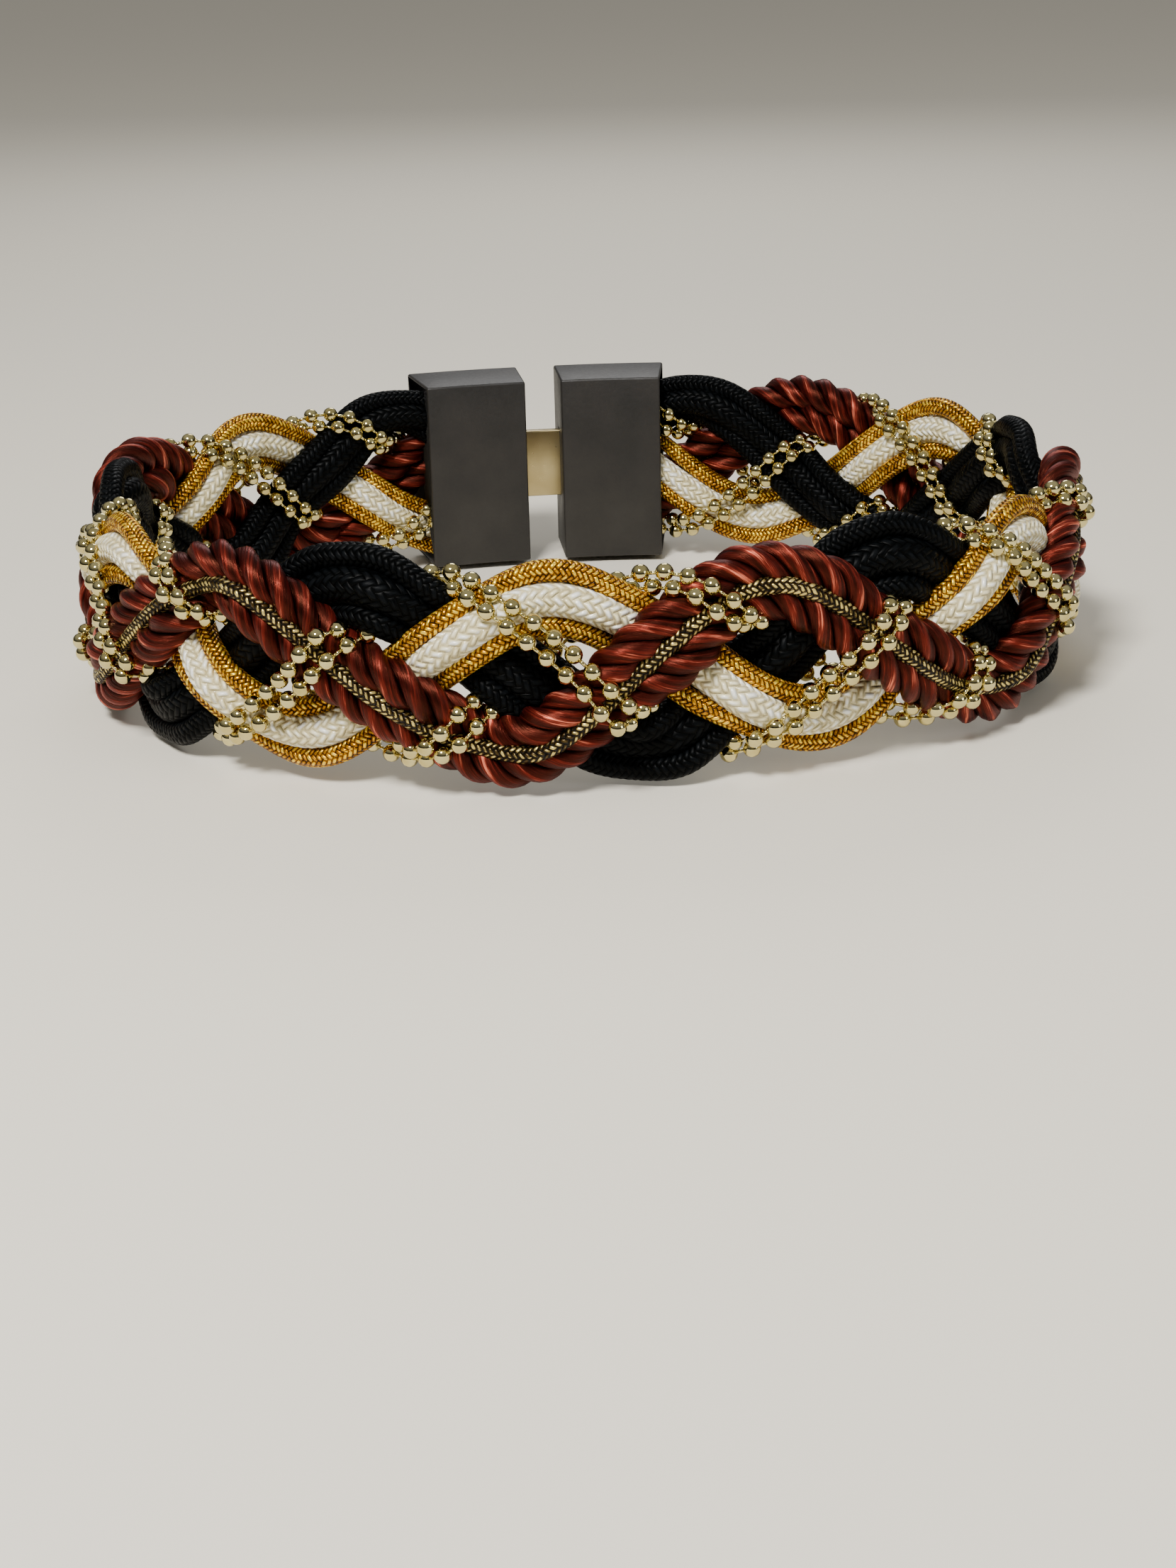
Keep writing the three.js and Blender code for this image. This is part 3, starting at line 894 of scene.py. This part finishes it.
# Each braid's colours run from painted shade between the yarns up to painted highlights on the crests.
BRAID_FINISHES = {
    Yarn.WHITE: BraidFinish(
        "ivory satin braid",
        crest_highlight=colour(252, 245, 210),
        body=colour(236, 224, 176),
        valley_shade=colour(204, 190, 142),
        lift_highlight=colour(255, 255, 246),
        roughness=0.26,
        specular=0.9,
        sheen=0.3,
        tone_spread=0.9,
        roundness=1.15,
        relief=0.7 * MM,
    ),
    Yarn.GOLD: BraidFinish(
        "mustard satin braid",
        crest_highlight=colour(192, 132, 0),
        body=colour(140, 86, 0),
        valley_shade=colour(22, 9, 0),
        lift_highlight=colour(255, 214, 66),
        roughness=0.27,
        metallic=0.7,
        specular=0.3,
        sheen=0.0,
        tone_spread=0.6,
    ),
    Yarn.BLACK: BraidFinish(
        "black satin braid",
        crest_highlight=colour(3, 4, 5),
        body=colour(1, 2, 2),
        valley_shade=colour(0, 0, 0),
        lift_highlight=colour(10, 12, 14),
        roughness=0.4,
        specular=0.045,
        sheen=0.0,
        relief=0.3 * MM,
    ),
    Yarn.OLIVE: BraidFinish(
        "olive metallic braid",
        crest_highlight=colour(70, 52, 14),
        body=colour(30, 20, 3),
        valley_shade=colour(2, 1, 0),
        lift_highlight=colour(222, 200, 120),
        roughness=0.29,
        metallic=0.6,
        specular=0.4,
        sheen=0.0,
        tone_spread=0.5,
    ),
}

# The rust colours run from painted groove shade up to painted highlight streaks.
RUST_FINISH = SatinFinish(
    "rust satin filaments",
    dark_and_groove_shade=colour(5, 0, 0),
    body=colour(50, 9, 8),
    light=colour(100, 29, 22),
    painted_highlight_and_tint=colour(246, 134, 104),
)

BEAD_FINISH = PolishedFinish(
    "pale gold beads",
    base=colour(220, 208, 152),
    worn=colour(196, 180, 116),
    roughness=0.06,
)

CLASP_FINISH = PolishedFinish(
    "pale gold clasp",
    base=colour(206, 190, 146),
    worn=colour(176, 158, 112),
    roughness=0.28,
    cloud_scale=60.0,
)

CAP_FINISH = LeatherFinish("plain black leather", base=colour(24, 22, 20), worn=colour(38, 35, 32))

THREAD_COLOUR = colour(222, 208, 160)
THREAD_SURFACE = 0.45


@dataclass
class BraidedCord:
    """A tubular braid laid along its CAD tube."""

    node: str
    yarn: Yarn
    diameter: float
    carriers: int
    pick: float
    rows_in_pick: float = 2.5
    sides_in_column: int = 3
    depth: float = 0.3 * MM
    yarn_profile: float = 2.6
    yarn_arch: float = 4.0
    off_the_edge: float = 1e-4

    def heights(self, picks: Array, columns: Array) -> Array:
        """Works out how far each place of the braid stands out.

        Args:
            picks: Place along the cord, in picks.
            columns: Place round it, in columns.

        Returns:
            0 between the yarns to 1 on their crests.
        """
        ahead = picks + columns
        back = picks - columns
        ahead_index = np.floor(ahead)
        back_index = np.floor(back)
        turn = np.mod(ahead_index - back_index, 4)
        leaning_back = turn > 1.5
        across = np.where(leaning_back, back - back_index, ahead - ahead_index)
        first_along = back - back_index + 1 - turn
        second_along = ahead - ahead_index + turn - 2
        along = np.where(leaning_back, second_along, first_along) / 2
        rounded = 1 - np.abs(2 * across - 1) ** self.yarn_profile
        arched = 1 - np.abs(2 * along - 1) ** self.yarn_arch
        return np.sqrt(np.maximum(rounded * arched, 0))

    def build(self, reader: TubeReader, material: bpy.types.Material) -> bpy.types.Object:
        """Makes the cord.

        Args:
            reader: Reads the CAD tube.
            material: The braid's material.

        Returns:
            The piece.
        """
        path = reader.path(self.node, self.pick / self.rows_in_pick)
        sides = self.carriers * self.sides_in_column
        picks = path.length / self.pick
        along = np.linspace(0, picks, len(path.points)) + self.off_the_edge
        around = np.arange(sides) / sides * self.carriers + self.off_the_edge
        relief = self.heights(along[:, None], around[None, :])
        radius = self.diameter / 2 * path.fullness()[:, None] - self.depth * (1 - relief)
        skin = Skin(f"{self.node}_braid", path, sides, picks, self.carriers)
        mesh = skin.close(skin.roll(radius))
        return placed(f"{self.node}_braid", mesh, material, self.yarn.value, self.node)


@dataclass
class TwistedRope:
    """Three satin plies twisted together along their CAD tube."""

    node: str
    diameter: float
    lay: float = 24 * MM
    plies: int = 3
    ply_radius: float = 2.56 * MM
    lobes: int = 4
    lobe_depth: float = 0.22 * MM
    sides: int = 16
    spacing: float = 0.9 * MM
    start: float = 0.0

    def build(self, reader: TubeReader, material: bpy.types.Material) -> bpy.types.Object:
        """Makes the rope.

        Args:
            reader: Reads the CAD tube.
            material: The satin's material.

        Returns:
            The piece.
        """
        path = reader.path(self.node, self.spacing)
        turn = 2 * math.pi * travelled(path.points) / self.lay + self.start
        full = path.fullness()[:, None]
        meshes = []
        for number in range(self.plies):
            angle = turn + 2 * math.pi * number / self.plies
            out = path.around(angle)
            middle = path.points + out * full * (self.diameter / 2 - self.ply_radius)
            ply_path = Path.through(middle, out)
            around = np.arange(self.sides) / self.sides
            groove = 1 - np.abs(np.cos(math.pi * self.lobes * around))
            radius = full * (self.ply_radius - self.lobe_depth * groove[None, :])
            skin = Skin(f"{self.node}_ply", ply_path, self.sides, ply_path.length / MM, 1.0)
            meshes.append(skin.close(skin.roll(radius)))
        mesh = joined(f"{self.node}_plies", meshes)
        return placed(f"{self.node}_plies", mesh, material, Yarn.RUST.value, self.node)


@dataclass
class BeadString:
    """Round beads moulded on a thread, with bare thread between them."""

    node: str
    start: float = 0.0
    bead: float = 4.6 * MM
    pitch: float = 6.2 * MM
    thread: float = 1.0 * MM
    sunk_share: float = 0.2
    segments: int = 14
    rings: int = 9
    thread_sides: int = 5
    spacing: float = 0.5 * MM

    def bead_mesh(self) -> bpy.types.Mesh:
        """Makes one bead at the origin."""
        bm = bmesh.new()
        bmesh.ops.create_uvsphere(bm, u_segments=self.segments, v_segments=self.rings, radius=self.bead / 2)
        # Blender lists a sphere's faces in an order that changes from run to run.
        for index, face in enumerate(sorted(bm.faces, key=lambda f: f.calc_center_median()[:])):
            face.index = index
        bm.faces.sort()
        mesh = bpy.data.meshes.new("bead")
        bm.to_mesh(mesh)
        bm.free()
        return mesh

    def thread_mesh(self) -> bpy.types.Mesh:
        """Makes the bare thread between two beads, at the origin along Z."""
        bm = bmesh.new()
        bmesh.ops.create_cone(
            bm,
            cap_ends=True,
            segments=self.thread_sides,
            radius1=self.thread / 2,
            radius2=self.thread / 2,
            depth=self.pitch - self.bead * (1 - self.sunk_share),
        )
        mesh = bpy.data.meshes.new("thread")
        bm.to_mesh(mesh)
        bm.free()
        return mesh

    @staticmethod
    def stamp(bm: bmesh.types.BMesh, mesh: bpy.types.Mesh, centre: Vector, ahead: Vector) -> None:
        """Adds a turned copy of a small mesh.

        Args:
            bm: Where the copy goes.
            mesh: What is copied, with its length along Z.
            centre: The copy's place.
            ahead: The direction that its length takes.
        """
        turned = Matrix.Translation(centre) @ ahead.to_track_quat("Z", "Y").to_matrix().to_4x4()
        mesh.transform(turned)
        bm.from_mesh(mesh)
        mesh.transform(turned.inverted())

    def build(
        self, reader: TubeReader, material: bpy.types.Material, thread: bpy.types.Material
    ) -> bpy.types.Object:
        """Makes the string.

        Args:
            reader: Reads the CAD tube.
            material: The beads' material.
            thread: The thread's material.

        Returns:
            The piece.
        """
        path = reader.path(self.node, self.spacing)
        reached = travelled(path.points)
        places = np.arange(self.start + self.bead / 2, path.length - self.bead / 2, self.pitch)
        centres = [Vector([np.interp(s, reached, path.points[:, k]) for k in range(3)]) for s in places]
        bead, link = self.bead_mesh(), self.thread_mesh()
        bm = bmesh.new()
        for index, centre in enumerate(centres):
            ahead = centres[min(index + 1, len(centres) - 1)] - centres[max(index - 1, 0)]
            self.stamp(bm, bead, centre, ahead)
        bead_faces = len(bm.faces)
        for here, after in zip(centres, centres[1:]):
            self.stamp(bm, link, (here + after) / 2, after - here)
        bpy.data.meshes.remove(bead)
        bpy.data.meshes.remove(link)
        bm.faces.ensure_lookup_table()
        for face in bm.faces:
            face.smooth = True
            face.material_index = 0 if face.index < bead_faces else 1
        mesh = bpy.data.meshes.new(f"{self.node}_beads")
        bm.to_mesh(mesh)
        bm.free()
        piece = placed(f"{self.node}_beads", mesh, material, "beads", self.node)
        mesh.materials.append(thread)
        return piece


@dataclass
class Fitting:
    """A cap or the clasp, with its edges rounded."""

    node: str
    slot: str
    edge: float = 0.9 * MM
    segments: int = 3
    flat_angle: float = 1.0
    rounded_angle: float = 40.0
    shaded_angle: float = 35.0

    def build(self, material: bpy.types.Material) -> bpy.types.Object:
        """Makes the fitting from its CAD solid.

        Args:
            material: Its material.

        Returns:
            The piece.
        """
        bm = bmesh.new()
        bm.from_mesh(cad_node(self.node).data)
        bmesh.ops.remove_doubles(bm, verts=bm.verts, dist=SAME_PLACE)
        flat = math.radians(self.flat_angle)
        bmesh.ops.dissolve_limit(bm, angle_limit=flat, verts=bm.verts, edges=bm.edges)
        bmesh.ops.recalc_face_normals(bm, faces=bm.faces)
        turn = math.radians(self.rounded_angle)
        sharp = [e for e in bm.edges if e.is_manifold and e.calc_face_angle(0.0) > turn]
        bmesh.ops.bevel(
            bm,
            geom=sharp,
            offset=self.edge,
            offset_type="OFFSET",
            segments=self.segments,
            profile=0.5,
            affect="EDGES",
            material=-1,
            clamp_overlap=True,
        )
        for face in bm.faces:
            face.smooth = True
        mesh = bpy.data.meshes.new(f"{self.node}_rounded")
        bm.to_mesh(mesh)
        bm.free()
        mesh.set_sharp_from_angle(angle=math.radians(self.shaded_angle))
        return placed(f"{self.node}_rounded", mesh, material, self.slot, self.node)


@dataclass(frozen=True)
class PhotoCamera:
    """The camera at the photograph's view.

    The distance is from the middle of the belt and angles are degrees. The focal length and the
    image's height are pixels, and the sensor's longer side is millimetres.
    """

    distance: float = 0.6808
    elevation: float = 15.06
    azimuth: float = -6.515
    pan: float = -0.016
    tilt: float = -5.67
    roll: float = -1.482
    focal: float = 3323
    image_height: int = 2212
    sensor: float = 36
    nearest: float = 0.01
    furthest: float = 50

    def build(self) -> bpy.types.Object:
        """Makes the camera.

        Returns:
            The camera, set as the scene's.
        """
        elevation, azimuth, pan, tilt, roll = (
            math.radians(a) for a in (self.elevation, self.azimuth, self.pan, self.tilt, self.roll)
        )
        level = math.cos(elevation)
        back = Vector((math.sin(azimuth) * level, -math.cos(azimuth) * level, math.sin(elevation)))
        right = Vector((math.cos(azimuth), math.sin(azimuth), 0))
        up = right.cross(-back)
        forward = -back * math.cos(pan) * math.cos(tilt)
        forward += right * math.sin(pan) * math.cos(tilt)
        forward += up * math.sin(tilt)
        forward.normalize()
        level_right = forward.cross(Vector((0, 0, 1))).normalized()
        level_up = level_right.cross(forward)
        turned_right = level_right * math.cos(roll) + level_up * math.sin(roll)
        turned_up = level_up * math.cos(roll) - level_right * math.sin(roll)
        data = bpy.data.cameras.new("photo_camera")
        data.sensor_width = self.sensor
        data.lens = self.focal * self.sensor / self.image_height
        data.clip_start = self.nearest
        data.clip_end = self.furthest
        camera = bpy.data.objects.new("photo_camera", data)
        turn = Matrix((turned_right, turned_up, -forward)).transposed().to_4x4()
        camera.matrix_world = Matrix.Translation(back * self.distance) @ turn
        bpy.context.scene.collection.objects.link(camera)
        bpy.context.scene.camera = camera
        return camera


@dataclass(frozen=True)
class SoftLight:
    """A square soft light that looks at the belt."""

    name: str
    place: tuple[float, float, float]
    size: float
    power: float
    tint: tuple[float, float, float] = (1.0, 1.0, 1.0)

    def build(self) -> bpy.types.Object:
        """Makes the light.

        Returns:
            The light.
        """
        data = bpy.data.lights.new(self.name, "AREA")
        data.shape = "SQUARE"
        data.size = self.size
        data.energy = self.power
        data.color = self.tint
        light = bpy.data.objects.new(self.name, data)
        light.location = self.place
        light.rotation_euler = (-Vector(self.place)).to_track_quat("-Z", "Y").to_euler()
        bpy.context.scene.collection.objects.link(light)
        return light


@dataclass
class Studio:
    """The pale floor, the surrounding light and the lights."""

    floor_gap: float = 0.4 * MM
    floor_size: float = 14.0
    floor_colour: Colour = colour(233, 227, 212)
    floor_roughness: float = 0.75
    dark_below: float = 0.1
    bright_above: float = 0.75
    overhead: Colour = colour(255, 253, 248)
    horizon: Colour = colour(40, 41, 44)
    brightness: float = 0.4
    lights: tuple[SoftLight, ...] = (
        SoftLight("key_light", (-0.45, -0.8, 1.15), 0.34, 32.0, (1.0, 0.98, 0.95)),
        SoftLight("fill_light", (1.1, -0.9, 0.5), 0.6, 4.0, (0.94, 0.97, 1.0)),
        SoftLight("back_light", (0.2, 1.2, 0.9), 0.6, 5.0),
    )

    def build(self) -> None:
        """Makes the studio."""
        lowest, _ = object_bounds()
        bm = bmesh.new()
        bmesh.ops.create_grid(bm, x_segments=1, y_segments=1, size=self.floor_size)
        bmesh.ops.translate(bm, verts=bm.verts, vec=(0, 0, lowest.z - self.floor_gap))
        mesh = bpy.data.meshes.new("floor")
        bm.to_mesh(mesh)
        bm.free()
        floor = bpy.data.objects.new("floor", mesh)
        bpy.context.scene.collection.objects.link(floor)
        graph = Graph("pale floor")
        mesh.materials.append(graph.finish(self.floor_colour, self.floor_roughness, None))
        floor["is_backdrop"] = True
        self.surround()
        for light in self.lights:
            light.build()

    def surround(self) -> None:
        """Makes the surroundings, bright overhead and darker at the horizon."""
        world = bpy.data.worlds.new("soft_surroundings")
        world.use_nodes = True
        nodes, links = world.node_tree.nodes, world.node_tree.links
        direction = nodes.new("ShaderNodeTexCoord")
        parts = nodes.new("ShaderNodeSeparateXYZ")
        ramp = nodes.new("ShaderNodeValToRGB")
        low, high = ramp.color_ramp.elements
        low.position, low.color = self.dark_below, self.horizon
        high.position, high.color = self.bright_above, self.overhead
        links.new(direction.outputs["Generated"], parts.inputs[0])
        links.new(parts.outputs[2], ramp.inputs[0])
        links.new(ramp.outputs[0], nodes["Background"].inputs[0])
        nodes["Background"].inputs[1].default_value = self.brightness
        bpy.context.scene.world = world


@dataclass
class Belt:
    """The whole belt, strand by strand."""

    reader: TubeReader = field(default_factory=TubeReader)
    ropes: tuple[TwistedRope, ...] = (
        TwistedRope("rust_rope_upper", 11.0 * MM),
        TwistedRope("rust_rope_lower", 11.0 * MM, start=1.1),
    )
    braids: tuple[BraidedCord, ...] = (
        BraidedCord("olive_cord", Yarn.OLIVE, 4.4 * MM, carriers=8, pick=1.6 * MM),
        BraidedCord(
            "white_cord",
            Yarn.WHITE,
            8.7 * MM,
            carriers=12,
            pick=2.4 * MM,
            rows_in_pick=4.0,
            sides_in_column=4,
        ),
        BraidedCord("gold_cord_upper", Yarn.GOLD, 5.6 * MM, carriers=10, pick=1.4 * MM),
        BraidedCord("gold_cord_lower", Yarn.GOLD, 5.6 * MM, carriers=10, pick=1.4 * MM),
        BraidedCord("black_cord_upper", Yarn.BLACK, 6.7 * MM, carriers=8, pick=1.8 * MM),
        BraidedCord("black_cord_middle", Yarn.BLACK, 9.6 * MM, carriers=12, pick=2.4 * MM),
        BraidedCord("black_cord_lower", Yarn.BLACK, 6.7 * MM, carriers=8, pick=1.8 * MM),
    )
    strings: tuple[BeadString, ...] = (
        BeadString("bead_string_1"),
        BeadString("bead_string_2", start=3.1 * MM),
        BeadString("bead_string_3"),
        BeadString("bead_string_4", start=3.1 * MM),
    )
    fittings: tuple[Fitting, ...] = (
        Fitting("end_cap_right", "caps"),
        Fitting("end_cap_left", "caps"),
        Fitting("clasp", "clasp", edge=0.5 * MM),
    )

    def build(self) -> None:
        """Makes every piece of the belt."""
        rust = RUST_FINISH.build()
        for rope in self.ropes:
            rope.build(self.reader, rust)
        yarns = {yarn: finish.build() for yarn, finish in BRAID_FINISHES.items()}
        for braid in self.braids:
            braid.build(self.reader, yarns[braid.yarn])
        beads = BEAD_FINISH.build()
        thread = Graph("bead thread").finish(THREAD_COLOUR, THREAD_SURFACE, None)
        for string in self.strings:
            string.build(self.reader, beads, thread)
        finishes = {"caps": CAP_FINISH.build(), "clasp": CLASP_FINISH.build()}
        for fitting in self.fittings:
            fitting.build(finishes[fitting.slot])


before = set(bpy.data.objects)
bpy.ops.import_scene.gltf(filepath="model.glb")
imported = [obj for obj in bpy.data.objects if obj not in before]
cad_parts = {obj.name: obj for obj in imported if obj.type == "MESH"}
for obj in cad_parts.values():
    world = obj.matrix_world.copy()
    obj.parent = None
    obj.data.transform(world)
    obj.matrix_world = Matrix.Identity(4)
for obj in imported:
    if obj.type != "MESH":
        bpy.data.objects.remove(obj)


def main() -> None:
    """Builds the belt, the camera and the studio."""
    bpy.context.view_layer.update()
    PhotoCamera().build()
    Belt().build()
    Studio().build()


if __name__ == "__main__":
    main()
